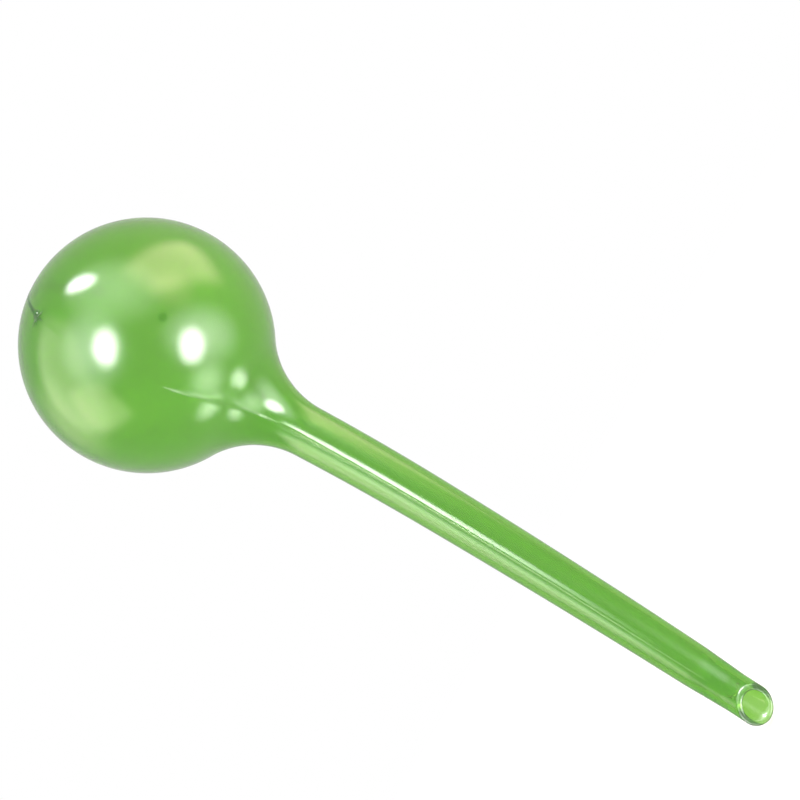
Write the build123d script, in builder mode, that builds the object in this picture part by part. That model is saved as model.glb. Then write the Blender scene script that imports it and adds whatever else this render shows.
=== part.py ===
from build123d import *

import os
from math import atan2, cos, degrees, radians, sin, sqrt, tan

# A watering globe: a hollow bulb that is filled with water and pushed, stem first, into the soil of a
# plant pot. It is one blow moulding of thin translucent plastic, modelled as its natural stretches.
# Lengths are in millimetres and angles in degrees. Z points up as in use, with the bulb on top. The
# front is -Y. The origin is level with the tip of the spout, straight below the centre of the bulb.

# Overall
overall_length = 255.0
bulb_diameter = 77.0

# Neck, where the ball runs into the stem. It counts from this angle below the widest part of the ball
neck_top_angle = 51.2
neck_curve_radius = 27.0
neck_straight_length = 1.6

# Stem, outside diameters at its root, halfway down and where the spout begins
stem_root_diameter = 15.9
stem_middle_diameter = 14.5
stem_end_diameter = 12.8

# Walls
bulb_wall = 0.9
stem_wall = 1.5

# The stem is not quite straight: it turns a little below the neck, then bows slowly to the spout
neck_bend_length = 40.0
neck_bend_angle = 2.6
stem_bow_angle = 1.9

# Spout, cut off at a slant
spout_length = 28.0
spout_draw_length = 14.0
bore_draw_length = 6.0
mouth_diameter = 11.6
mouth_bore_diameter = 8.0
mouth_cut_angle = 50.0

# Angles round the moulding, from the front towards the right
mouth_facing_angle = 10.0
parting_angle = -12.0
weld_angle = -15.0
needle_mark_angle = 15.8

# Fine ridge where the two halves of the mould met
flash_height = 0.18
flash_width = 0.45

# Pinched-off weld over the crown, with a pucker at each end
weld_spread_angle = 42.0
weld_height = 0.55
weld_base_width = 1.2
weld_top_width = 0.6
pucker_diameter = 3.0
pucker_height = 0.7

# Small ring and pip where the blowing needle went in. Its lift counts up from the widest part
needle_ring_diameter = 2.4
needle_ring_bore = 1.5
needle_pip_diameter = 0.6
needle_mark_height = 0.25
needle_mark_lift_angle = -9.8

# Gap under the raised marks, so that they rest on the curved wall without cutting into it
seat_gap = 0.04

# How far a shape runs on before it is cut back
overrun = 2.0

# Cross sections in each stretch of the stem
sections_per_stretch = 6

os.makedirs("parts", exist_ok=True)

bulb_radius = bulb_diameter / 2
bulb_bore_radius = bulb_radius - bulb_wall
stem_root_radius = stem_root_diameter / 2
stem_middle_radius = stem_middle_diameter / 2
stem_end_radius = stem_end_diameter / 2
stem_root_bore = stem_root_radius - stem_wall
mouth_radius = mouth_diameter / 2
mouth_bore_radius = mouth_bore_diameter / 2
mouth_reach = mouth_radius * tan(radians(mouth_cut_angle))
bulb_centre_height = overall_length - bulb_radius

# How far below the centre of the ball the neck begins, and where its hollow curve has become the stem
curve_across = stem_root_radius + neck_curve_radius
neck_top_drop = bulb_radius * sin(radians(neck_top_angle))
neck_end_drop = sqrt((bulb_radius + neck_curve_radius) ** 2 - curve_across**2) + neck_straight_length


# Centre line of the moulding


def draw_centre_line(bow_length):
    """From the centre of the bulb at zero down to the middle of the slanted mouth: straight through the
    neck, two arcs, and straight again through the spout. Drawn flat, with the bulb's axis upright."""
    with BuildLine() as run:
        neck = Line((0, 0), (0, -neck_end_drop))
        bend_radius = neck_bend_length / radians(neck_bend_angle)
        bend = JernArc(neck @ 1, neck % 1, bend_radius, -neck_bend_angle)
        bow_radius = bow_length / radians(stem_bow_angle)
        bow = JernArc(bend @ 1, bend % 1, bow_radius, -stem_bow_angle)
        Line(bow @ 1, (bow @ 1) + (bow % 1) * (spout_length - mouth_reach))
    return run.wire()


# The bow is as long as the overall length asks for
wanted_drop = bulb_centre_height - mouth_reach
bow_length = wanted_drop - neck_end_drop - neck_bend_length - (spout_length - mouth_reach)
for _ in range(4):
    trial = draw_centre_line(bow_length)
    bow_length += wanted_drop - ((trial @ 1) - (trial @ 0)).length

centre_line = draw_centre_line(bow_length)
line_end = centre_line @ 1
lean = atan2(-line_end.X, -line_end.Y)

spout_drop = neck_end_drop + neck_bend_length + bow_length
stem_joint_drop = (neck_end_drop + spout_drop) / 2
mouth_drop = spout_drop + spout_length - mouth_reach

# The plane that the centre line lies in, seen from the front: X to the right, Y up the bulb's own axis
front = Vector(0, -1, 0)
bulb_plane = Plane((0, 0, bulb_centre_height), x_dir=(cos(lean), 0, sin(lean)), z_dir=front)
bulb_up = bulb_plane.y_dir
bulb_centre = bulb_plane.origin


def centre_at(drop):
    """The point this far down the centre line from the centre of the bulb."""
    return bulb_plane.from_local_coords(centre_line.position_at(drop, PositionMode.LENGTH))


def down_at(drop):
    """The direction of the centre line there, towards the spout."""
    drawn = centre_line.tangent_at(drop, PositionMode.LENGTH)
    return bulb_plane.x_dir * drawn.X + bulb_plane.y_dir * drawn.Y


def cross_plane(drop):
    """The plane square to the centre line there. Its X points to the front and its Y to the right."""
    return Plane(centre_at(drop), x_dir=front, z_dir=down_at(drop) * -1)


def side_direction(plane, angle):
    """The direction square to the centre line at this angle from the front."""
    return plane.x_dir * cos(radians(angle)) + plane.y_dir * sin(radians(angle))


def stem_radius(drop):
    """Outside radius of the stem, on a smooth curve through its root, middle and end."""
    t = (drop - neck_end_drop) / (spout_drop - neck_end_drop)
    at_root = stem_root_radius * (1 - t) * (1 - 2 * t)
    at_middle = 4 * stem_middle_radius * t * (1 - t)
    at_end = stem_end_radius * t * (2 * t - 1)
    return at_root + at_middle + at_end


def sections(first, last):
    """Evenly spaced drops along one stretch of the stem, both ends included."""
    step = (last - first) / (sections_per_stretch - 1)
    return [first + step * i for i in range(sections_per_stretch)]


# Bulb and neck


def draw_side(proud, wall, top_angle=90):
    """One side of ball and neck, from top_angle on the ball to the end of the neck, standing proud of
    the outside or, with a wall, on the inside. The ball runs into the stem by a hollow curve."""
    ball = bulb_radius + proud - wall
    throat = stem_root_radius + proud - (stem_wall if wall else 0)
    curve = neck_curve_radius - proud + wall
    across = throat + curve
    below = sqrt((ball + curve) ** 2 - across**2)
    leave = degrees(atan2(below, across))
    CenterArc((0, 0), ball, -leave, leave + top_angle)
    CenterArc((across, -below), curve, 180 - leave, leave)
    Line((throat, -below), (throat, -neck_end_drop))


def draw_blown_wall():
    """Half of the wall of ball and neck, cut through the axis."""
    draw_side(0, 0)
    draw_side(0, bulb_wall)
    Line((0, bulb_bore_radius), (0, bulb_radius))
    Line((stem_root_bore, -neck_end_drop), (stem_root_radius, -neck_end_drop))


bulb_axis = Axis(bulb_centre, bulb_up)
neck_top = Plane(bulb_centre - bulb_up * neck_top_drop, x_dir=bulb_plane.x_dir, z_dir=bulb_up)

with BuildPart() as bulb_shell:
    with BuildSketch(bulb_plane):
        with BuildLine():
            draw_blown_wall()
        make_face()
    revolve(axis=bulb_axis)
    split(bisect_by=neck_top, keep=Keep.TOP)

bulb_shell.part.label = "bulb_shell"
export_step(bulb_shell.part, "parts/bulb_shell.step")

with BuildPart() as neck_flare:
    with BuildSketch(bulb_plane):
        with BuildLine():
            draw_blown_wall()
        make_face()
    revolve(axis=bulb_axis)
    split(bisect_by=neck_top, keep=Keep.BOTTOM)

neck_flare.part.label = "neck_flare"
export_step(neck_flare.part, "parts/neck_flare.step")


# Stem, in two stretches, each a round loft along the centre line

for name, first, last in (
    ("stem_upper", neck_end_drop, stem_joint_drop),
    ("stem_lower", stem_joint_drop, spout_drop),
):
    with BuildPart() as stretch:
        for drop in sections(first, last):
            with BuildSketch(cross_plane(drop)):
                Circle(stem_radius(drop))
        loft(ruled=True)
        for drop in sections(first, last):
            with BuildSketch(cross_plane(drop)):
                Circle(stem_radius(drop) - stem_wall)
        loft(ruled=True, mode=Mode.SUBTRACT)

    stretch.part.label = name
    export_step(stretch.part, f"parts/{name}.step")


# Spout: the outside draws in to the mouth, the bore narrows to a straight drip bore, and the slanting
# cut leaves a long toe at the back

spout_plane = cross_plane(spout_drop)
spout_down = down_at(spout_drop)
heel_side = side_direction(spout_plane, mouth_facing_angle)
cut_normal = spout_down * cos(radians(mouth_cut_angle)) + heel_side * sin(radians(mouth_cut_angle))
mouth_plane = Plane(centre_at(mouth_drop), x_dir=heel_side.cross(spout_down), z_dir=cut_normal)

with BuildPart() as spout_tip:
    with BuildSketch(Plane(spout_plane.origin, x_dir=front, z_dir=spout_plane.y_dir)):
        with BuildLine():
            Polyline(
                (stem_end_radius - stem_wall, 0),
                (stem_end_radius, 0),
                (mouth_radius, spout_draw_length),
                (mouth_radius, spout_length + overrun),
                (mouth_bore_radius, spout_length + overrun),
                (mouth_bore_radius, bore_draw_length),
                close=True,
            )
        make_face()
    revolve(axis=Axis(spout_plane.origin, spout_down))
    split(bisect_by=mouth_plane, keep=Keep.BOTTOM)

spout_tip.part.label = "spout_tip"
export_step(spout_tip.part, "parts/spout_tip.step")


# Parting ridges, at the front and at the back, over ball and neck and down the stem


def wall_radius(drop):
    """Outside radius of the stem or, further down, of the spout."""
    if drop <= spout_drop:
        return stem_radius(drop)
    drawn_in = min((drop - spout_drop) / spout_draw_length, 1)
    return stem_end_radius + (mouth_radius - stem_end_radius) * drawn_in


pucker_radius = pucker_diameter / 2
pucker_spread_angle = degrees(atan2(pucker_radius, bulb_radius))
ridge_top_angle = 90 - weld_spread_angle - pucker_spread_angle
draw_end_drop = spout_drop + spout_draw_length
ridge_runs = (
    sections(neck_end_drop, stem_joint_drop),
    sections(stem_joint_drop, spout_drop),
    [spout_drop, draw_end_drop],
    [draw_end_drop, mouth_drop + mouth_reach],
)

for place, angle in (("front", parting_angle), ("back", parting_angle + 180)):
    outward = side_direction(cross_plane(0), angle)

    with BuildPart() as bulb_flash:
        with BuildSketch(Plane(bulb_centre, x_dir=outward, z_dir=outward.cross(bulb_up))):
            with BuildLine():
                draw_side(seat_gap, 0, ridge_top_angle)
                draw_side(seat_gap + flash_height, 0, ridge_top_angle)
                foot = Vector(bulb_radius + seat_gap, 0).rotate(Axis.Z, ridge_top_angle)
                Line(foot, foot + foot.normalized() * flash_height)
                throat = stem_root_radius + seat_gap
                Line((throat, -neck_end_drop), (throat + flash_height, -neck_end_drop))
            make_face()
        extrude(amount=flash_width / 2, both=True)

    bulb_flash.part.label = f"bulb_flash_{place}"
    export_step(bulb_flash.part, f"parts/bulb_flash_{place}.step")

    with BuildPart() as stem_flash:
        for run in ridge_runs:
            for drop in run:
                with BuildSketch(cross_plane(drop)):
                    with PolarLocations(wall_radius(drop) + seat_gap + flash_height / 2, 1, angle):
                        Rectangle(flash_height, flash_width)
            loft(ruled=True)
        split(bisect_by=mouth_plane, keep=Keep.BOTTOM)

    stem_flash.part.label = f"stem_flash_{place}"
    export_step(stem_flash.part, f"parts/stem_flash_{place}.step")


# Weld over the crown, turned a little from the parting plane

weld_front = side_direction(cross_plane(0), weld_angle)
weld_turn = weld_front.cross(bulb_up)


def on_weld(angle):
    """The direction from the centre of the bulb at this angle from the crown, towards the front."""
    return bulb_up * cos(radians(angle)) + weld_front * sin(radians(angle))


weld_foot = bulb_radius + seat_gap
dome_radius = (pucker_radius**2 + pucker_height**2) / (2 * pucker_height)
dome_angle = degrees(atan2(dome_radius - pucker_height, pucker_radius))

with BuildPart() as crown_weld:
    weld_start = on_weld(weld_spread_angle)
    with BuildSketch(Plane(bulb_centre, x_dir=weld_turn, z_dir=weld_turn.cross(weld_start))):
        with BuildLine():
            Polyline(
                (-weld_base_width / 2, weld_foot),
                (weld_base_width / 2, weld_foot),
                (weld_top_width / 2, weld_foot + weld_height),
                (-weld_top_width / 2, weld_foot + weld_height),
                close=True,
            )
        make_face()
    revolve(axis=Axis(bulb_centre, weld_turn), revolution_arc=2 * weld_spread_angle)
    for end_angle in (weld_spread_angle, -weld_spread_angle):
        outward = on_weld(end_angle)
        foot = bulb_centre + outward * weld_foot
        with BuildSketch(Plane(foot, x_dir=weld_turn, z_dir=weld_turn.cross(outward))):
            with BuildLine():
                CenterArc((0, pucker_height - dome_radius), dome_radius, dome_angle, 90 - dome_angle)
                Polyline((0, pucker_height), (0, 0), (pucker_radius, 0))
            make_face()
        revolve(axis=Axis(foot, outward))

crown_weld.part.label = "crown_weld"
export_step(crown_weld.part, "parts/crown_weld.step")


# Needle mark

needle_side = side_direction(cross_plane(0), needle_mark_angle)
needle_lift = radians(needle_mark_lift_angle)
needle_out = needle_side * cos(needle_lift) + bulb_up * sin(needle_lift)

with BuildPart() as needle_mark:
    with BuildSketch(Plane(bulb_centre + needle_out * weld_foot, z_dir=needle_out)):
        Circle(needle_ring_diameter / 2)
        Circle(needle_ring_bore / 2, mode=Mode.SUBTRACT)
        Circle(needle_pip_diameter / 2)
    extrude(amount=needle_mark_height)

needle_mark.part.label = "needle_mark"
export_step(needle_mark.part, "parts/needle_mark.step")
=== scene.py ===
# Watering globe of translucent green PVC, blown in one piece: the dressed model, its studio and camera.
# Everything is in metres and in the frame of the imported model: Z up as in use, the front at -Y.

from math import atan2, cos, pi, radians, sin, sqrt, tan

import bpy
from mathutils import Matrix, Vector


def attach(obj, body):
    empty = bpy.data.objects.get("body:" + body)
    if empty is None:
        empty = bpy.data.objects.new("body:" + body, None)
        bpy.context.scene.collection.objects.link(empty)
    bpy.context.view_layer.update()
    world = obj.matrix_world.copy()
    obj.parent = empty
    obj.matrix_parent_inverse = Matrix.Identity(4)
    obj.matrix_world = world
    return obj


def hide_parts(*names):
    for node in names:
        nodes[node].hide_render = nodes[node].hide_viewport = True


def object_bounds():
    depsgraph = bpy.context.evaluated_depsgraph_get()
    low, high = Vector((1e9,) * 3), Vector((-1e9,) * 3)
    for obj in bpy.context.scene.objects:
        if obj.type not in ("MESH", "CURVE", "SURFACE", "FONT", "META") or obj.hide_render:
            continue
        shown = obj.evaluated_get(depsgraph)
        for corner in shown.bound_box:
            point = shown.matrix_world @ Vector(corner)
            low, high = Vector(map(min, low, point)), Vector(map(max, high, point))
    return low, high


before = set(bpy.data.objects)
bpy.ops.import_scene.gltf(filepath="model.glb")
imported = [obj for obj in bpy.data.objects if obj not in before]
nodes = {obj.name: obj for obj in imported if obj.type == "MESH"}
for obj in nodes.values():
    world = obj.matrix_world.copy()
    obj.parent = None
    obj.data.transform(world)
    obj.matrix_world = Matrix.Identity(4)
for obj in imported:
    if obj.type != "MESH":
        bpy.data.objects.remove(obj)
cadLow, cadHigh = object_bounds()
mm = 0.001
print("frame loaded:", len(nodes), "nodes")


# Small helpers


def srgb(hexCode):
    # one hex colour as Blender's linear values, by the sRGB curve
    channels = [int(hexCode[i : i + 2], 16) / 255 for i in (1, 3, 5)]
    linear = [c / 12.92 if c <= 0.04045 else ((c + 0.055) / 1.055) ** 2.4 for c in channels]
    return (*linear, 1.0)


def addNode(tree, kind, settings=None, links=None):
    # settings are properties by name or sockets by name or number, links are input: output socket
    node = tree.nodes.new(kind)
    for name, value in (settings or {}).items():
        if isinstance(name, str) and hasattr(node, name):
            setattr(node, name, value)
        else:
            node.inputs[name].default_value = value
    for name, source in (links or {}).items():
        tree.links.new(source, node.inputs[name])
    return node


def addMath(tree, kind, operation, values):
    # one number or vector operation on sockets and plain values, in order
    node = addNode(tree, kind, {"operation": operation})
    for socket, value in zip(node.inputs, values):
        if isinstance(value, bpy.types.NodeSocket):
            tree.links.new(value, socket)
        else:
            socket.default_value = value
    return node.outputs[0]


def calc(tree, operation, *values):
    return addMath(tree, "ShaderNodeMath", operation, values)


def calcVector(tree, operation, *values):
    return addMath(tree, "ShaderNodeVectorMath", operation, values)


def stretched(tree, vector, factor):
    node = addNode(tree, "ShaderNodeVectorMath", {"operation": "SCALE"}, {0: vector, "Scale": factor})
    return node.outputs[0]


def spread(first, last, count):
    return [first + (last - first) * i / count for i in range(count + 1)]


def along(stops, at):
    # a value that eases from one stop (place, value) to the next
    for (start, low), (end, high) in zip(stops, stops[1:]):
        if at <= end:
            share = min(max((at - start) / (end - start), 0), 1)
            return low + (high - low) * share * share * (3 - 2 * share)
    return stops[-1][1]


# Materials


def newMaterial(name):
    material = bpy.data.materials.new(name)
    material.use_nodes = True
    material.node_tree.nodes.clear()
    return material, material.node_tree


def rippled(tree, wave, height):
    # a faint ripple, as a bump with this distance from crest to crest
    place = addNode(tree, "ShaderNodeTexCoord")
    noise = addNode(
        tree,
        "ShaderNodeTexNoise",
        {"Scale": 1 / wave, "Detail": 1.0},
        {"Vector": place.outputs["Object"]},
    )
    bump = addNode(
        tree,
        "ShaderNodeBump",
        {"Strength": 1.0, "Distance": height},
        {"Height": noise.outputs["Fac"]},
    )
    return bump.outputs["Normal"]


plainPlastic = {"transmission": 1.0, "roughness": 0.0, "ior": 1.47, "specular": 0.5}


def makePlastic(name, given):
    # what every plastic here has and, where they are given, a ripple and a colour that grows with depth
    look = plainPlastic | given
    material, tree = newMaterial(name)
    shader = addNode(
        tree,
        "ShaderNodeBsdfPrincipled",
        {
            "Base Color": srgb(look["tint"]),
            "Transmission Weight": look["transmission"],
            "Roughness": look["roughness"],
            "IOR": look["ior"],
            "Specular IOR Level": look["specular"],
        },
        {"Normal": rippled(tree, look["wave"], look["waveHeight"])} if "wave" in look else None,
    )
    sides = {"Surface": shader.outputs["BSDF"]}
    if "depth" in look:
        depth = addNode(
            tree,
            "ShaderNodeVolumeAbsorption",
            {"Color": srgb(look["depthTint"]), "Density": look["depth"]},
        )
        sides["Volume"] = depth.outputs["Volume"]
    addNode(tree, "ShaderNodeOutputMaterial", links=sides)
    return material


# soft PVC blown into a polished mould: glossy and a little cloudy, a deeper green where it is thicker
blownPvc = {
    "tint": "#AED981",
    "transmission": 0.9,
    "roughness": 0.16,
    "specular": 0.45,
    "depthTint": "#C2EE55",
    "depth": 450,
    "wave": 9 * mm,
    "waveHeight": 0.02 * mm,
}

# the same PVC where the mould pinched it: no longer stretched, so thicker, darker and less even
pinchedPvc = {
    "tint": "#5FB23E",
    "transmission": 0.7,
    "roughness": 0.12,
    "wave": 1.5 * mm,
    "waveHeight": 0.05 * mm,
}

# the low rim that a needle leaves on the soft wall: a second layer of green, so a faint deeper ring
proudPvc = {"tint": "#86C25C", "transmission": 0.8, "roughness": 0.1}

# air shut into the plastic: each bubble throws the light back at its rim and sparkles
trappedAir = {"tint": "#FFFFFF", "ior": 1 / plainPlastic["ior"]}

blownMaterial = makePlastic("BlownPvcGreen", blownPvc)
pinchedMaterial = makePlastic("PinchedPvcGreen", pinchedPvc)
proudMaterial = makePlastic("NeedleRimPvc", proudPvc)
airMaterial = makePlastic("TrappedAirBubbles", trappedAir)
print("materials made")


# Centre line of the moulding, from the crown down: straight through ball and neck, a short bend, a long
# bow and straight again through the spout

moulding = {
    "bulbRadius": 38.5 * mm,
    "bulbWall": 0.9 * mm,
    "stemWall": 1.5 * mm,
    "neckCurve": 27 * mm,
    "neckStraight": 1.6 * mm,
    "stemRadii": (7.95 * mm, 7.25 * mm, 6.4 * mm),
    "bendLength": 40 * mm,
    "bendAngle": radians(2.6),
    "bowAngle": radians(1.9),
    "spoutLength": 28 * mm,
    "spoutDraw": 14 * mm,
    "boreDraw": 6 * mm,
    "mouthRadius": 5.8 * mm,
    "mouthBore": 4 * mm,
    "lip": 0.35 * mm,
    "cutAngle": radians(50),
    "facingAngle": radians(10),
    "lengthTries": 4,  # rounds in which the bow's length settles
}
m = moulding
mouthReach = m["mouthRadius"] * tan(m["cutAngle"])
bulbCentre = Vector((0, 0, cadHigh.z - m["bulbRadius"]))
across = m["stemRadii"][0] + m["neckCurve"]
neckEnd = sqrt((m["bulbRadius"] + m["neckCurve"]) ** 2 - across**2) + m["neckStraight"]


def walkRun(run, drop):
    # place on the flat run this far down from the bulb's centre, with the bulb's axis upright
    place, heading = Vector((0, 0)), 0.0
    for length, turnAngle in run:
        part = min(drop, length)
        drop -= part
        ahead = part
        if turnAngle:
            swing = turnAngle * part / length / 2
            ahead = 2 * length / turnAngle * sin(swing)
            heading += swing
        place = place + ahead * Vector((-sin(heading), -cos(heading)))
        if turnAngle:
            heading += swing
    return place + drop * Vector((-sin(heading), -cos(heading)))


def flatRun(bowLength):
    # (length, turn) of each stretch
    straightEnd = m["spoutLength"] - mouthReach
    return [(neckEnd, 0), (m["bendLength"], m["bendAngle"]), (bowLength, m["bowAngle"]), (straightEnd, 0)]


wantedDrop = bulbCentre.z - mouthReach
bowLength = wantedDrop - neckEnd - m["bendLength"] - m["spoutLength"] + mouthReach
for _ in range(m["lengthTries"]):
    run = flatRun(bowLength)
    mouthDrop = sum(length for length, _turn in run)
    bowLength += wantedDrop - walkRun(run, mouthDrop).length
run = flatRun(bowLength)
mouthDrop = sum(length for length, _turn in run)
spoutDrop = mouthDrop - run[-1][0]
mouthFlat = walkRun(run, mouthDrop)
lean = atan2(-mouthFlat.x, -mouthFlat.y)


def onCentreLine(drop):
    # the flat run stands in the plane XZ, turned so that the mouth comes to lie below the bulb
    flat = walkRun(run, drop) if drop >= 0 else Vector((0, -drop))
    x = flat.x * cos(lean) - flat.y * sin(lean)
    z = flat.x * sin(lean) + flat.y * cos(lean)
    return bulbCentre + Vector((x, 0, z))


def crossAxes(drop):
    # front, right and down, square to the centre line
    down = (onCentreLine(drop + mm) - onCentreLine(drop - mm)).normalized()
    front = Vector((0, -1, 0))
    return front, front.cross(down), down


# Outline: half of the wall cut through the axis, once down the outside and up the inside


def stemRadius(drop):
    # a smooth curve through the stem's root, middle and end
    root, middle, end = m["stemRadii"]
    t = (drop - neckEnd) / (spoutDrop - neckEnd)
    return root * (1 - t) * (1 - 2 * t) + 4 * middle * t * (1 - t) + end * t * (2 * t - 1)


# How many steps each stretch of the outline, and the centre line, is drawn in
steps = {"ball": 96, "neck": 36, "stem": 84, "draw": 12, "mouth": 14, "centreLine": 400}


def ballAndStem(inside):
    # (drop, radius) of one side of the wall, from the crown down to the top of the spout
    thin, thick = (m["bulbWall"], m["stemWall"]) if inside else (0, 0)
    ball = m["bulbRadius"] - thin
    throat = m["stemRadii"][0] - thick
    curve = m["neckCurve"] + thin
    out = throat + curve
    below = sqrt((ball + curve) ** 2 - out**2)
    leave = atan2(below, out)
    points = [(-ball * cos(a), ball * sin(a)) for a in spread(0, pi / 2 + leave, steps["ball"])]
    points += [(below - curve * sin(a), out - curve * cos(a)) for a in spread(leave, 0, steps["neck"])[1:]]
    points += [(d, stemRadius(d) - thick) for d in spread(neckEnd, spoutDrop, steps["stem"])]
    return points


def spout(inside):
    # (drop, radius) from the top of the spout down to the rim, with its rounded lip
    lip = m["lip"]
    start = m["stemRadii"][2] - (m["stemWall"] if inside else 0)
    end = m["mouthBore"] if inside else m["mouthRadius"]
    drawn = m["boreDraw"] if inside else m["spoutDraw"]
    points = [(spoutDrop + drawn * t, start + (end - start) * t) for t in spread(0, 1, steps["draw"])[1:]]
    points += [(d, end) for d in spread(spoutDrop + drawn, mouthDrop - lip, steps["mouth"])[1:]]
    points += [(mouthDrop, end + (lip if inside else -lip))]
    return points


# Parting line: the ridge is flush over most of the ball, stands out from its lower third down over the
# neck and fades along the stem. It wanders a little round the moulding. Each stop is (drop, value)

partingLine = {
    "heights": [
        (-24 * mm, 0),
        (-21 * mm, 0.07 * mm),
        (-17 * mm, 0.07 * mm),
        (-14 * mm, 0),
        (15 * mm, 0),
        (19 * mm, 0.38 * mm),
        (44 * mm, 0.42 * mm),
        (60 * mm, 0.2 * mm),
        (93 * mm, 0.16 * mm),
        (94.5 * mm, 0.36 * mm),
        (96 * mm, 0.15 * mm),
        (173 * mm, 0.13 * mm),
        (174.5 * mm, 0.36 * mm),
        (176 * mm, 0.12 * mm),
        (190 * mm, 0.12 * mm),
        (205 * mm, 0),
    ],
    "turns": [
        (-38 * mm, radians(-15.5)),
        (-15 * mm, radians(-14.2)),
        (17 * mm, radians(-12)),
        (32 * mm, radians(-10.2)),
        (52 * mm, radians(-10.8)),
        (95 * mm, radians(-12.3)),
        (210 * mm, radians(-12.8)),
    ],
}

outside = ballAndStem(False) + spout(False)
inside = ballAndStem(True) + spout(True)
outline = [(drop, radius, along(partingLine["heights"], drop)) for drop, radius in outside]
outline += [(drop, radius, 0) for drop, radius in reversed(inside)]
print("outline drawn:", len(outline), "points")


# Growing pieces with Geometry Nodes


def newTree(name, inputs):
    tree = bpy.data.node_groups.new(name, "GeometryNodeTree")
    tree.interface.new_socket("Geometry", in_out="INPUT", socket_type="NodeSocketGeometry")
    identifiers = {}
    for label, kind in inputs.items():
        made = tree.interface.new_socket(label, in_out="INPUT", socket_type="NodeSocket" + kind)
        identifiers[label] = made.identifier
    tree.interface.new_socket("Geometry", in_out="OUTPUT", socket_type="NodeSocketGeometry")
    return tree, tree.nodes.new("NodeGroupInput").outputs, identifiers


def endTree(tree, geometry, material):
    smooth = addNode(tree, "GeometryNodeSetShadeSmooth", links={"Geometry": geometry})
    real = addNode(tree, "GeometryNodeRealizeInstances", links={"Geometry": smooth.outputs[0]})
    parts = {"Geometry": real.outputs[0], "Material": material}
    dressed = addNode(tree, "GeometryNodeSetMaterial", links=parts)
    addNode(tree, "NodeGroupOutput", links={"Geometry": dressed.outputs["Geometry"]})


def growPiece(name, tree, identifiers, values):
    # runs a tree once on an empty mesh and keeps the result as a plain mesh
    seed = bpy.data.objects.new(name + "Seed", bpy.data.meshes.new(name + "Seed"))
    bpy.context.scene.collection.objects.link(seed)
    modifier = seed.modifiers.new("Grow", "NODES")
    modifier.node_group = tree
    for label, value in values.items():
        modifier[identifiers[label]] = value
    evaluated = seed.evaluated_get(bpy.context.evaluated_depsgraph_get())
    mesh = bpy.data.meshes.new_from_object(evaluated)
    mesh.name = name
    seed.modifiers.remove(modifier)
    bpy.data.objects.remove(seed)
    piece = bpy.data.objects.new(name, mesh)
    bpy.context.scene.collection.objects.link(piece)
    return piece


def labelled(values):
    # a piece's own values by the labels of its tree's inputs: wallRadius becomes Wall Radius
    spaced = {"".join(" " + c if c.isupper() else c for c in name): value for name, value in values.items()}
    return {name.title(): value for name, value in spaced.items()}


def helperCurve(name, points, tilts=None):
    curve = bpy.data.curves.new(name, "CURVE")
    curve.dimensions = "3D"
    spline = curve.splines.new("POLY")
    spline.points.add(len(points) - 1)
    for i, point in enumerate(points):
        spline.points[i].co = (*point, 1)
        spline.points[i].tilt = tilts[i] if tilts else 0
    made = bpy.data.objects.new(name, curve)
    bpy.context.scene.collection.objects.link(made)
    return made


def chance(tree, low, high, place, seed):
    # a random number between two values, the same one every time for the same place and seed
    node = addNode(
        tree,
        "FunctionNodeRandomValue",
        {"data_type": "FLOAT"},
        {2: low, 3: high, "ID": place, "Seed": seed},
    )
    return node.outputs[1]


# The blown skin: one closed wall, lathed round the bent centre line and sheared to the slanted cut. Its
# columns crowd together at the parting line, front and back, where the ridge rises

skin = {
    "sides": 160,
    "ridgeColumns": 4,
    "columnWidth": 0.1 * mm,
    "unevenness": 0.05 * mm,
    "unevennessSize": 16 * mm,  # from bulge to bulge
    "mergeWithin": 0.002 * mm,
}


def columnAngle(tree, column, given, radius):
    # the angle of a column from the ridge at the front, and how far up the ridge's profile it stands
    half = calc(tree, "DIVIDE", given["Sides"], 2)
    quarter = calc(tree, "DIVIDE", half, 2)
    inHalf = calc(tree, "MODULO", column, half)
    turned = calc(tree, "FLOOR", calc(tree, "DIVIDE", column, half))
    near = calc(tree, "MINIMUM", inHalf, calc(tree, "SUBTRACT", half, inHalf))

    # the columns of the ridge stand close together, at most as far apart as even ones
    ridge = calc(tree, "MINIMUM", near, given["Ridge Columns"])
    close = calc(tree, "DIVIDE", calc(tree, "MULTIPLY", ridge, given["Column Width"]), radius)
    even = calc(tree, "MULTIPLY", ridge, calc(tree, "DIVIDE", pi / 2, quarter))
    foot = calc(tree, "MINIMUM", close, even)

    # the others share what is left of the quarter turn
    others = calc(tree, "SUBTRACT", quarter, given["Ridge Columns"])
    each = calc(tree, "DIVIDE", calc(tree, "SUBTRACT", pi / 2, foot), others)
    beyond = calc(tree, "SUBTRACT", near, ridge)
    local = calc(tree, "ADD", foot, calc(tree, "MULTIPLY", beyond, each))

    # the second quarter mirrors the first, and the second half turn repeats the first half
    past = calc(tree, "GREATER_THAN", inHalf, quarter)
    back = calc(tree, "SUBTRACT", pi, local)
    mirrored = calc(tree, "MULTIPLY_ADD", past, calc(tree, "SUBTRACT", back, local), local)
    angle = calc(tree, "MULTIPLY_ADD", turned, pi, mirrored)
    downRidge = calc(tree, "MULTIPLY", pi, calc(tree, "DIVIDE", ridge, given["Ridge Columns"]))
    crest = calc(tree, "COSINE", downRidge)
    return angle, calc(tree, "MULTIPLY_ADD", crest, 0.5, 0.5)


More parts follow.
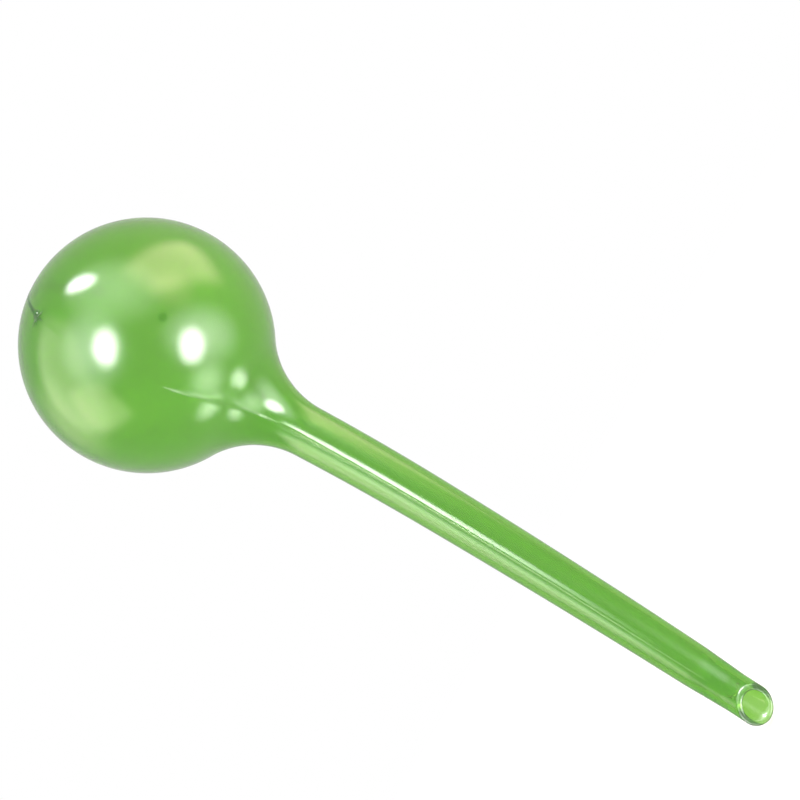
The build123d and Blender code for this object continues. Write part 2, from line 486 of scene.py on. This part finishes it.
def blownSkinTree():
    tree, given, identifiers = newTree(
        "BlownSkin",
        {
            "Outline": "Object",
            "Centre Line": "Object",
            "Sides": "Int",
            "Ridge Columns": "Int",
            "Column Width": "Float",
            "Crown Drop": "Float",
            "Shear Start": "Float",
            "Mouth Drop": "Float",
            "Cut Slope": "Float",
            "Facing Angle": "Float",
            "Unevenness": "Float",
            "Unevenness Size": "Float",
            "Merge Within": "Float",
            "Material": "Material",
        },
    )
    outlineInfo = addNode(tree, "GeometryNodeObjectInfo", links={"Object": given["Outline"]})
    lineInfo = addNode(tree, "GeometryNodeObjectInfo", links={"Object": given["Centre Line"]})
    drawing = outlineInfo.outputs["Geometry"]
    size = addNode(tree, "GeometryNodeAttributeDomainSize", {"component": "CURVE"}, {"Geometry": drawing})
    count = size.outputs["Point Count"]
    grid = addNode(
        tree,
        "GeometryNodeMeshGrid",
        {"Size X": 1.0, "Size Y": 1.0},
        {"Vertices X": count, "Vertices Y": calc(tree, "ADD", given["Sides"], 1)},
    )
    place = addNode(tree, "GeometryNodeInputPosition").outputs[0]
    onGrid = addNode(tree, "ShaderNodeSeparateXYZ", links={"Vector": place})
    lastRow = calc(tree, "SUBTRACT", count, 1)
    rowShare = calc(tree, "ADD", onGrid.outputs["X"], 0.5)
    columnShare = calc(tree, "ADD", onGrid.outputs["Y"], 0.5)
    row = calc(tree, "ROUND", calc(tree, "MULTIPLY", rowShare, lastRow))
    column = calc(tree, "ROUND", calc(tree, "MULTIPLY", columnShare, given["Sides"]))

    # the outline's point of this row: how far down, how far out, the ridge's height and the seam's turn
    point = addNode(
        tree,
        "GeometryNodeSampleIndex",
        {"data_type": "FLOAT_VECTOR", "domain": "POINT"},
        {"Geometry": drawing, "Value": place, "Index": row},
    )
    tilt = addNode(tree, "GeometryNodeInputCurveTilt")
    seamTurn = addNode(
        tree,
        "GeometryNodeSampleIndex",
        {"data_type": "FLOAT", "domain": "POINT"},
        {"Geometry": drawing, "Value": tilt.outputs[0], "Index": row},
    )
    drawn = addNode(tree, "ShaderNodeSeparateXYZ", links={"Vector": point.outputs["Value"]}).outputs
    turnedBy, crest = columnAngle(tree, column, given, drawn["Y"])
    angle = calc(tree, "ADD", turnedBy, seamTurn.outputs["Value"])
    radius = calc(tree, "MULTIPLY_ADD", drawn["Z"], crest, drawn["Y"])

    # below the start of the spout the rings tilt more and more, up to the slant of the cut
    room = calc(tree, "SUBTRACT", given["Mouth Drop"], given["Shear Start"])
    share = calc(tree, "DIVIDE", calc(tree, "SUBTRACT", drawn["X"], given["Shear Start"]), room)
    share = calc(tree, "MINIMUM", calc(tree, "MAXIMUM", share, 0), 1)
    towards = calc(tree, "COSINE", calc(tree, "SUBTRACT", angle, given["Facing Angle"]))
    slope = calc(tree, "MULTIPLY", calc(tree, "MULTIPLY", radius, given["Cut Slope"]), towards)
    reached = calc(tree, "SUBTRACT", drawn["X"], calc(tree, "MULTIPLY", slope, share))
    fromCrown = calc(tree, "SUBTRACT", reached, given["Crown Drop"])
    line = addNode(
        tree,
        "GeometryNodeSampleCurve",
        {"mode": "LENGTH"},
        {"Curves": lineInfo.outputs["Geometry"], "Length": fromCrown},
    )
    front = (0.0, -1.0, 0.0)
    side = calcVector(tree, "CROSS_PRODUCT", front, line.outputs["Tangent"])
    frontPart = calc(tree, "COSINE", angle)
    ahead = addNode(tree, "ShaderNodeVectorMath", {"operation": "SCALE", 0: front}, {"Scale": frontPart})
    aside = stretched(tree, side, calc(tree, "SINE", angle))
    outward = stretched(tree, calcVector(tree, "ADD", ahead.outputs[0], aside), radius)
    lathed = addNode(
        tree,
        "GeometryNodeSetPosition",
        links={
            "Geometry": grid.outputs["Mesh"],
            "Position": calcVector(tree, "ADD", line.outputs["Position"], outward),
        },
    )
    merged = addNode(
        tree,
        "GeometryNodeMergeByDistance",
        links={"Geometry": lathed.outputs["Geometry"], "Distance": given["Merge Within"]},
    )

    # a blown wall is never quite even: each side wanders in and out by a few hundredths of a millimetre
    wander = addNode(
        tree,
        "ShaderNodeTexNoise",
        {"Detail": 1.0},
        {"Vector": place, "Scale": calc(tree, "DIVIDE", 1, given["Unevenness Size"])},
    )
    amount = calc(tree, "MULTIPLY", calc(tree, "SUBTRACT", wander.outputs[0], 0.5), given["Unevenness"])
    normal = addNode(tree, "GeometryNodeInputNormal").outputs[0]
    uneven = addNode(
        tree,
        "GeometryNodeSetPosition",
        links={"Geometry": merged.outputs["Geometry"], "Offset": stretched(tree, normal, amount)},
    )
    endTree(tree, uneven.outputs["Geometry"], given["Material"])
    return tree, identifiers


crownDrop = -m["bulbRadius"]
lineDrops = spread(crownDrop, mouthDrop + mouthReach, steps["centreLine"])
centreLine = helperCurve("centreLine", [onCentreLine(drop) for drop in lineDrops])
seamTurns = [along(partingLine["turns"], point[0]) for point in outline]
outlineCurve = helperCurve("outline", outline, seamTurns)
skinTree, skinInputs = blownSkinTree()
blownSkin = growPiece(
    "blown_skin",
    skinTree,
    skinInputs,
    labelled(skin)
    | {
        "Outline": outlineCurve,
        "Centre Line": centreLine,
        "Crown Drop": crownDrop,
        "Shear Start": spoutDrop,
        "Mouth Drop": mouthDrop,
        "Cut Slope": tan(m["cutAngle"]),
        "Facing Angle": m["facingAngle"],
        "Material": blownMaterial,
    },
)
for helper in (centreLine, outlineCurve):
    bpy.data.objects.remove(helper)
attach(blownSkin, "root")
stretches = ("bulb_shell", "neck_flare", "stem_upper", "stem_lower", "spout_tip")
ridges = ("bulb_flash_front", "bulb_flash_back", "stem_flash_front", "stem_flash_back")
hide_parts(*stretches, *ridges)
print("skin grown:", len(blownSkin.data.vertices), "vertices")

for name, material in (("crown_weld", pinchedMaterial), ("needle_mark", proudMaterial)):
    nodes[name].data.materials.clear()
    nodes[name].data.materials.append(material)


# Puckers: short folds that fan out from both ends of the weld, where the mould gathered the soft wall

puckers = {
    "rays": 5,
    "steps": 12,
    "fan": radians(200),
    "jitter": radians(16),
    "shortest": 2.4 * mm,
    "longest": 5.6 * mm,
    "width": 0.45 * mm,
    "endShare": 0.02,  # how much of its section a fold keeps at its end
    "sides": 10,
    "seed": 11,
    "lengthDraws": 100,  # keeps the draws for lengths apart from those for angles
}


def puckerTree():
    tree, given, identifiers = newTree(
        "Puckers",
        {
            "First End": "Vector",
            "Second End": "Vector",
            "Centre": "Vector",
            "Radius": "Float",
            "Rays": "Int",
            "Steps": "Int",
            "Fan": "Float",
            "Jitter": "Float",
            "Shortest": "Float",
            "Longest": "Float",
            "Width": "Float",
            "End Share": "Float",
            "Sides": "Int",
            "Seed": "Int",
            "Length Draws": "Int",
            "Material": "Material",
        },
    )
    line = addNode(tree, "GeometryNodeCurvePrimitiveLine")
    stepped = addNode(
        tree,
        "GeometryNodeResampleCurve",
        links={"Curve": line.outputs[0], "Count": given["Steps"]},
    )
    points = addNode(tree, "GeometryNodePoints", links={"Count": calc(tree, "MULTIPLY", given["Rays"], 2)})
    folds = addNode(
        tree,
        "GeometryNodeInstanceOnPoints",
        links={"Points": points.outputs[0], "Instance": stepped.outputs[0]},
    )
    real = addNode(tree, "GeometryNodeRealizeInstances", links={"Geometry": folds.outputs[0]})

    # which fold a point belongs to, how far along it lies, which end of the weld and which ray
    index = addNode(tree, "GeometryNodeInputIndex").outputs[0]
    fold = calc(tree, "FLOOR", calc(tree, "DIVIDE", index, given["Steps"]))
    lastStep = calc(tree, "SUBTRACT", given["Steps"], 1)
    share = calc(tree, "DIVIDE", calc(tree, "MODULO", index, given["Steps"]), lastStep)
    second = calc(tree, "FLOOR", calc(tree, "DIVIDE", fold, given["Rays"]))
    ray = calc(tree, "MODULO", fold, given["Rays"])

    # this end of the weld, and the directions away from the other end and across
    weld = calcVector(tree, "SUBTRACT", given["Second End"], given["First End"])
    here = calcVector(tree, "ADD", given["First End"], stretched(tree, weld, second))
    away = stretched(tree, weld, calc(tree, "MULTIPLY_ADD", second, 2, -1))
    outward = calcVector(tree, "NORMALIZE", away)
    normal = calcVector(tree, "NORMALIZE", calcVector(tree, "SUBTRACT", here, given["Centre"]))
    aside = calcVector(tree, "CROSS_PRODUCT", normal, outward)

    # each fold runs straight out at its own angle and is laid onto the ball, thinner towards its end
    lastRay = calc(tree, "SUBTRACT", given["Rays"], 1)
    evenly = calc(tree, "SUBTRACT", calc(tree, "DIVIDE", ray, lastRay), 0.5)
    leastJitter = calc(tree, "MULTIPLY", given["Jitter"], -1)
    jitter = chance(tree, leastJitter, given["Jitter"], fold, given["Seed"])
    angle = calc(tree, "ADD", calc(tree, "MULTIPLY", evenly, given["Fan"]), jitter)
    lengthDraw = calc(tree, "ADD", fold, given["Length Draws"])
    length = chance(tree, given["Shortest"], given["Longest"], lengthDraw, given["Seed"])
    reach = calc(tree, "MULTIPLY", length, share)
    ahead = stretched(tree, outward, calc(tree, "COSINE", angle))
    heading = calcVector(tree, "ADD", ahead, stretched(tree, aside, calc(tree, "SINE", angle)))
    place = calcVector(tree, "ADD", here, stretched(tree, heading, reach))
    fromCentre = calcVector(tree, "NORMALIZE", calcVector(tree, "SUBTRACT", place, given["Centre"]))
    onBall = calcVector(tree, "ADD", given["Centre"], stretched(tree, fromCentre, given["Radius"]))
    laid = addNode(
        tree,
        "GeometryNodeSetPosition",
        links={"Geometry": real.outputs[0], "Position": onBall},
    )
    left = calc(tree, "SUBTRACT", calc(tree, "ADD", 1, given["End Share"]), share)
    thin = calc(tree, "MULTIPLY", given["Width"], calc(tree, "SQRT", left))
    section = addNode(
        tree,
        "GeometryNodeCurvePrimitiveCircle",
        {"Radius": 1.0},
        {"Resolution": given["Sides"]},
    )
    swept = addNode(
        tree,
        "GeometryNodeCurveToMesh",
        {"Fill Caps": True},
        {"Curve": laid.outputs[0], "Profile Curve": section.outputs[0], "Scale": thin},
    )
    endTree(tree, swept.outputs[0], given["Material"])
    return tree, identifiers


weldNode = nodes["crown_weld"]
weldCorners = [weldNode.matrix_world @ vertex.co for vertex in weldNode.data.vertices]
weldTurn = along(partingLine["turns"], crownDrop)
weldFront, weldRight, _down = crossAxes(0)
weldLine = weldFront * cos(weldTurn) + weldRight * sin(weldTurn)
puckerNodes, puckerInputs = puckerTree()
puckerFolds = growPiece(
    "pucker_folds",
    puckerNodes,
    puckerInputs,
    labelled(puckers)
    | {
        "First End": max(weldCorners, key=weldLine.dot),
        "Second End": min(weldCorners, key=weldLine.dot),
        "Centre": bulbCentre,
        "Radius": m["bulbRadius"],
        "Material": pinchedMaterial,
    },
)
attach(puckerFolds, "root")
print("puckers grown:", len(puckerFolds.data.vertices), "vertices")


# Bubbles: a few specks of air shut into the thick wall above the heel of the cut

bubbles = {
    "count": 13,
    "wallRadius": 4.9 * mm,
    "turn": radians(0),
    "spread": radians(30),
    "lowest": 6.4 * mm,
    "highest": 9.0 * mm,
    "smallest": 0.25 * mm,
    "largest": 0.5 * mm,
    "fineness": 3,  # subdivisions of each bubble
    "seed": 4,
}


def bubbleTree():
    tree, given, identifiers = newTree(
        "TrappedAir",
        {
            "Mouth": "Vector",
            "Up": "Vector",
            "Front": "Vector",
            "Right": "Vector",
            "Wall Radius": "Float",
            "Count": "Int",
            "Turn": "Float",
            "Spread": "Float",
            "Lowest": "Float",
            "Highest": "Float",
            "Smallest": "Float",
            "Largest": "Float",
            "Fineness": "Int",
            "Seed": "Int",
            "Material": "Material",
        },
    )
    index = addNode(tree, "GeometryNodeInputIndex").outputs[0]
    seed = given["Seed"]
    first = calc(tree, "SUBTRACT", given["Turn"], given["Spread"])
    last = calc(tree, "ADD", given["Turn"], given["Spread"])
    angle = chance(tree, first, last, index, seed)
    height = chance(tree, given["Lowest"], given["Highest"], index, calc(tree, "ADD", seed, 1))
    size = chance(tree, given["Smallest"], given["Largest"], index, calc(tree, "ADD", seed, 2))
    ahead = stretched(tree, given["Front"], calc(tree, "COSINE", angle))
    outward = calcVector(tree, "ADD", ahead, stretched(tree, given["Right"], calc(tree, "SINE", angle)))
    level = calcVector(tree, "ADD", given["Mouth"], stretched(tree, given["Up"], height))
    place = calcVector(tree, "ADD", level, stretched(tree, outward, given["Wall Radius"]))
    points = addNode(tree, "GeometryNodePoints", links={"Count": given["Count"], "Position": place})
    bubble = addNode(
        tree,
        "GeometryNodeMeshIcoSphere",
        {"Radius": 1.0},
        {"Subdivisions": given["Fineness"]},
    )
    blown = addNode(
        tree,
        "GeometryNodeInstanceOnPoints",
        links={"Points": points.outputs[0], "Instance": bubble.outputs["Mesh"], "Scale": size},
    )
    endTree(tree, blown.outputs[0], given["Material"])
    return tree, identifiers


mouthFront, mouthRight, mouthDown = crossAxes(mouthDrop)
bubbleNodes, bubbleInputs = bubbleTree()
heelBubbles = growPiece(
    "heel_bubbles",
    bubbleNodes,
    bubbleInputs,
    labelled(bubbles)
    | {
        "Mouth": onCentreLine(mouthDrop),
        "Up": -mouthDown,
        "Front": mouthFront,
        "Right": mouthRight,
        "Material": airMaterial,
    },
)
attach(heelBubbles, "root")
print("bubbles blown:", len(heelBubbles.data.vertices), "vertices")


# Camera: placed by where the photograph shows the bulb and the mouth

shot = {
    "size": 800,  # the picture's side, in pixels like the other measures here
    "focal": 2000,
    "sensor": 36,  # millimetres
    "bulbPixel": (147.84, 345.62),
    "bulbPixelRadius": 128.2,
    "mouthPixel": (751, 702.5),
    "tilt": radians(4),
    "nearness": 1.004,  # the camera's distance, over what the bulb's size in the picture gives
    "clip": (0.01, 20),
}
bulbDepth = shot["focal"] * m["bulbRadius"] / shot["bulbPixelRadius"] * shot["nearness"]


def pixelRay(pixel):
    right, low = (value - shot["size"] / 2 for value in pixel)
    return Vector((right / shot["focal"], -low / shot["focal"], -1))


bulbSeen = pixelRay(shot["bulbPixel"]) * bulbDepth
mouthSeen = pixelRay(shot["mouthPixel"]) * (bulbDepth - wantedDrop * sin(shot["tilt"]))
seenDown = (mouthSeen - bulbSeen).normalized()
seenFront = (Vector((0, 0, 1)) - seenDown * seenDown.z).normalized()
seenAxes = Matrix((seenDown, seenFront, seenDown.cross(seenFront))).transposed()
globeDown, globeFront = Vector((0, 0, -1)), Vector((0, -1, 0))
globeAxes = Matrix((globeDown, globeFront, globeDown.cross(globeFront))).transposed()
cameraTurn = globeAxes @ seenAxes.transposed()

cameraData = bpy.data.cameras.new("camera")
cameraData.sensor_width = shot["sensor"]
cameraData.lens = shot["sensor"] * shot["focal"] / shot["size"]
cameraData.clip_start, cameraData.clip_end = shot["clip"]
camera = bpy.data.objects.new("camera", cameraData)
camera.matrix_world = Matrix.Translation(bulbCentre - cameraTurn @ bulbSeen) @ cameraTurn.to_4x4()
bpy.context.scene.collection.objects.link(camera)
bpy.context.scene.camera = camera
print("camera placed")


# Surround: white where the camera looks past the globe, duller towards the camera's own side of the room

surround = {"matt": 0.6, "shine": 0.7, "room": 0.6, "darkFrom": -0.2, "whiteFrom": 0.75}

world = bpy.data.worlds.new("studio")
world.use_nodes = True
tree = world.node_tree
tree.nodes.clear()
path = addNode(tree, "ShaderNodeLightPath").outputs
heading = addNode(tree, "ShaderNodeTexCoord").outputs["Generated"]
viewAxis = cameraTurn @ Vector((0, 0, -1))
ahead = addNode(tree, "ShaderNodeVectorMath", {"operation": "DOT_PRODUCT", 1: viewAxis}, {0: heading})
fade = addNode(
    tree,
    "ShaderNodeMapRange",
    {
        "interpolation_type": "SMOOTHSTEP",
        "From Min": surround["darkFrom"],
        "From Max": surround["whiteFrom"],
        "To Min": surround["room"],
        "To Max": 1.0,
    },
    {"Value": ahead.outputs["Value"]},
)
through = calc(tree, "MULTIPLY", path["Is Transmission Ray"], fade.outputs["Result"])
mirrored = calc(tree, "MULTIPLY", path["Is Glossy Ray"], surround["shine"])
lit = calc(tree, "MULTIPLY", path["Is Diffuse Ray"], surround["matt"])
seen = calc(tree, "MAXIMUM", path["Is Camera Ray"], through)
strength = calc(tree, "MAXIMUM", seen, calc(tree, "MAXIMUM", mirrored, lit))
background = addNode(tree, "ShaderNodeBackground", {"Color": (1, 1, 1, 1)}, {"Strength": strength})
addNode(tree, "ShaderNodeOutputWorld", links={"Surface": background.outputs["Background"]})
bpy.context.scene.world = world


# Floor: a pale sheet at the height of the tip

sheet = {"half": 3.0, "white": 0.9, "glow": 0.5}

floorMesh = bpy.data.meshes.new("floor")
corners = [(x * sheet["half"], y * sheet["half"], 0) for x, y in ((-1, -1), (1, -1), (1, 1), (-1, 1))]
floorMesh.from_pydata(corners, [], [(0, 1, 2, 3)])
floor = bpy.data.objects.new("floor", floorMesh)
bpy.context.scene.collection.objects.link(floor)
floorMaterial, tree = newMaterial("WhiteSweep")
paper = addNode(tree, "ShaderNodeBsdfDiffuse", {"Color": (*[sheet["white"]] * 3, 1)})
glow = addNode(tree, "ShaderNodeEmission", {"Color": (1, 1, 1, 1), "Strength": sheet["glow"]})
both = addNode(tree, "ShaderNodeAddShader", links={0: paper.outputs[0], 1: glow.outputs[0]})
addNode(tree, "ShaderNodeOutputMaterial", links={"Surface": both.outputs[0]})
floorMesh.materials.append(floorMaterial)
floor.location.z = cadLow.z
floor.visible_glossy = False
floor.visible_transmission = False
floor.visible_shadow = False


# Lamps


def softEdge(tree, place, core, square):
    # full out to this share of the half width, then down to nothing at the rim. Square 1 is an ellipse,
    # more fills the corners
    middle = addNode(tree, "ShaderNodeVectorMath", {"operation": "SUBTRACT", 1: (0.5, 0.5, 0)}, {0: place})
    part = addNode(tree, "ShaderNodeSeparateXYZ", links={0: middle.outputs[0]}).outputs
    powers = [calc(tree, "POWER", calc(tree, "ABSOLUTE", part[axis]), 2 * square) for axis in (0, 1)]
    out = calc(tree, "POWER", calc(tree, "ADD", *powers), 0.5 / square)
    fade = addNode(
        tree,
        "ShaderNodeMapRange",
        {
            "interpolation_type": "SMOOTHSTEP",
            "From Min": 0.5,
            "From Max": 0.5 * core,
            "To Min": 0.0,
            "To Max": 1.0,
        },
        {"Value": out},
    )
    return fade.outputs["Result"]


def dimmed(tree, place, full, end):
    # full over this share of the length, then down to this share of the light at the lower end
    part = addNode(tree, "ShaderNodeSeparateXYZ", links={"Vector": place}).outputs
    fade = addNode(
        tree,
        "ShaderNodeMapRange",
        {
            "interpolation_type": "SMOOTHSTEP",
            "From Min": 1 - full,
            "From Max": 0.0,
            "To Min": 1.0,
            "To Max": end,
        },
        {"Value": part["Y"]},
    )
    return fade.outputs["Result"]


farAway = 2.0
close = 0.355

plainLook = {
    "core": 1.0,  # how much of the half width is fully lit
    "square": 1,  # 1 is an ellipse, more fills the corners
    "dimming": None,  # or (share that is fully lit, share of the light at the end)
    "tint": "#FFFFFF",
    "beam": 180,  # degrees
    "matt": False,  # whether it lights matt surfaces
    "seenThrough": True,  # whether it shows through the plastic
}


def addLamp(name, place, facing, size, given):
    look = plainLook | given
    lamp = bpy.data.lights.new(name, "AREA")
    lamp.shape = "RECTANGLE"
    lamp.size, lamp.size_y = size
    lamp.energy = look["radiance"] * pi * size[0] * size[1]
    lamp.color = srgb(look["tint"])[:3]
    lamp.spread = radians(look["beam"])
    lamp.use_nodes = True
    tree = lamp.node_tree
    tree.nodes.clear()
    onLamp = addNode(tree, "ShaderNodeNewGeometry").outputs["Parametric"]
    if look["dimming"]:
        strength = dimmed(tree, onLamp, *look["dimming"])
    else:
        strength = softEdge(tree, onLamp, look["core"], look["square"])
    glow = addNode(tree, "ShaderNodeEmission", {"Color": (1, 1, 1, 1)}, {"Strength": strength})
    addNode(tree, "ShaderNodeOutputLight", links={"Surface": glow.outputs[0]})
    made = bpy.data.objects.new(name, lamp)
    made.matrix_world = Matrix.Translation(place) @ facing.to_4x4()
    made.visible_camera = False
    made.visible_diffuse = look["matt"]
    made.visible_transmission = look["seenThrough"]
    bpy.context.scene.collection.objects.link(made)


def addSoftbox(name, box):
    # aimed at the bulb: where it stands and how large it looks, in degrees as the camera sees them
    a, b = radians(box["sideways"]), radians(box["upwards"])
    outward = cameraTurn @ Vector((sin(a) * cos(b), sin(b), cos(a) * cos(b)))
    across = (cameraTurn @ Vector((0, 1, 0))).cross(outward).normalized()
    roll = Matrix.Rotation(radians(box.get("roll", 0)), 3, "Z")
    facing = Matrix((across, outward.cross(across), outward)).transposed() @ roll
    far = box.get("far", farAway)
    size = [2 * far * tan(radians(box[side]) / 2) for side in ("wide", "high")]
    addLamp(name, bulbCentre + outward * far, facing, size, box)


def addStrip(name, strip):
    # a narrow box along the stem, turned this many degrees round it
    ahead, right, down = crossAxes(strip["drop"])
    angle = radians(strip["angle"])
    outward = ahead * cos(angle) + right * sin(angle)
    facing = Matrix((outward.cross(down), -down, outward)).transposed()
    place = onCentreLine(strip["drop"]) + outward * strip["away"]
    addLamp(name, place, facing, (strip["width"], strip["length"]), strip)


softboxes = {
    "leftBox": {  # the left window in the ball
        "sideways": -30,
        "upwards": -3,
        "wide": 30,
        "high": 41,
        "radiance": 28,
        "core": 0.45,
        "seenThrough": False,
    },
    "rightBox": {  # the right window in the ball
        "sideways": 46,
        "upwards": -1,
        "wide": 31,
        "high": 38,
        "radiance": 28,
        "core": 0.45,
        "seenThrough": False,
    },
    "rimBox": {  # the slanting oval near the crown
        "sideways": -77,
        "upwards": 43,
        "wide": 30,
        "high": 16,
        "roll": 35,
        "radiance": 30,
        "core": 0.55,
        "seenThrough": False,
    },
    "leftGlow": {  # a soft halo round the left window
        "sideways": -44,
        "upwards": -4,
        "wide": 76,
        "high": 78,
        "radiance": 7,
        "core": 0.0,
        "seenThrough": False,
    },
    "rightGlow": {  # a soft halo round the right window
        "sideways": 56,
        "upwards": 8,
        "wide": 88,
        "high": 62,
        "radiance": 7.3,
        "core": 0.0,
        "seenThrough": False,
    },
    "upHaze": {"sideways": -34, "upwards": 46, "wide": 96, "high": 76, "radiance": 4.2, "core": 0.0},
    "leftBoard": {  # a pale board beside the crown
        "sideways": -80,
        "upwards": -24,
        "wide": 66,
        "high": 92,
        "radiance": 2.8,
        "core": 0.5,
        "square": 2,
        "tint": "#FFF0E8",
    },
    "lowFill": {  # a little warm light into the lower rim
        "sideways": -108,
        "upwards": -40,
        "wide": 70,
        "high": 60,
        "radiance": 1.6,
        "core": 0.2,
        "tint": "#FFE8E0",
    },
    "lowBox": {  # the pale patch low on the left
        "sideways": -58,
        "upwards": -50,
        "wide": 48,
        "high": 46,
        "radiance": 3.2,
        "core": 0.6,
        "square": 3,
        "tint": "#FFE8E0",
    },
    "overhead": {  # the broad patch above, and the upper side of the stem
        "sideways": 56,
        "upwards": 69,
        "wide": 78,
        "high": 53,
        "far": close,
        "radiance": 4.6,
        "core": 0.45,
        "square": 3,
        "tint": "#FFD8CE",
        "matt": True,
    },
    "midHaze": {  # haze between that patch and the windows
        "sideways": 34,
        "upwards": 48,
        "wide": 46,
        "high": 46,
        "far": close,
        "radiance": 3.0,
        "core": 0.0,
        "tint": "#FFD8CE",
    },
    "backBox": {  # the patch low on the right
        "sideways": 84,
        "upwards": -44,
        "wide": 26,
        "high": 30,
        "far": close,
        "radiance": 9,
        "core": 0.1,
    },
    "neckBox": {"sideways": 101, "upwards": -20, "wide": 24, "high": 17, "radiance": 11, "core": 0.2},
    "neckGlow": {  # a glow where the ball runs into the neck
        "sideways": 64,
        "upwards": -27,
        "wide": 44,
        "high": 40,
        "far": close,
        "radiance": 7.0,
        "core": 0.0,
    },
}

strips = {
    "stemStrip": {  # the streak along the stem
        "drop": 115 * mm,
        "away": 80 * mm,
        "angle": -18,
        "width": 42 * mm,
        "length": 138 * mm,
        "radiance": 3.2,
        "dimming": (0.2, 0.04),
        "beam": 60,
        "seenThrough": False,
    },
    "stemBelt": {  # the paler belt below the streak
        "drop": 122 * mm,
        "away": 80 * mm,
        "angle": -54,
        "width": 48 * mm,
        "length": 180 * mm,
        "radiance": 0.47,
        "core": 0.5,
        "square": 2,
        "beam": 60,
        "seenThrough": False,
    },
}

for name, box in softboxes.items():
    addSoftbox(name, box)
for name, strip in strips.items():
    addStrip(name, strip)
print("studio lit")

bpy.context.scene.view_settings.view_transform = "Standard"
